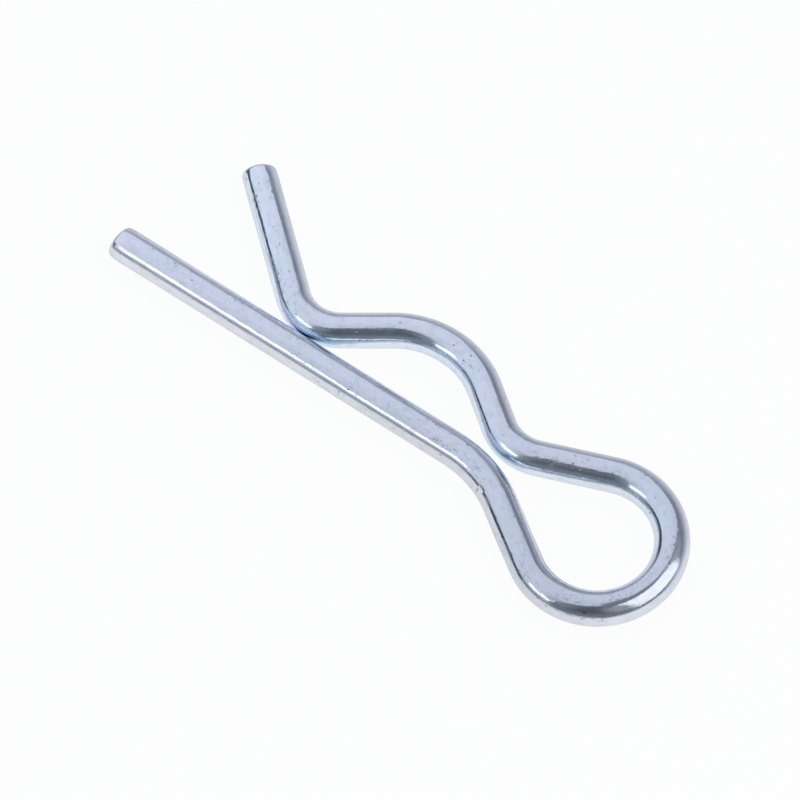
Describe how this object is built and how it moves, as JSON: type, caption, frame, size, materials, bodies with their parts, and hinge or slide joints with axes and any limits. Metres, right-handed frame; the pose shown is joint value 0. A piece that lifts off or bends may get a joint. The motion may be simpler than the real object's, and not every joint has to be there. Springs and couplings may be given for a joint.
{
  "type": "hitch r clip pin",
  "caption": "R clip of round spring wire: the straight leg goes through a hitch pin's cross hole, the bowed arm grips the pin's outside, and the round loop is the pull eye.",
  "frame": {"origin": "on the axis of the straight leg, where the centre line of the shaft that the clip locks crosses it", "axes": "+X along the leg towards the pull loop, +Y towards the sprung arm, +Z square to the clip's plane and up from the surface that it lies on"},
  "size_m": [0.0753, 0.0281, 0.004],
  "materials": {
    "zinc_plated_wire": "bright zinc plating with a clear blue passivation on drawn spring wire, lightly scuffed"
  },
  "bodies": {
    "root": {"clip_wire": "zinc_plated_wire"}
  },
  "joints": []
}
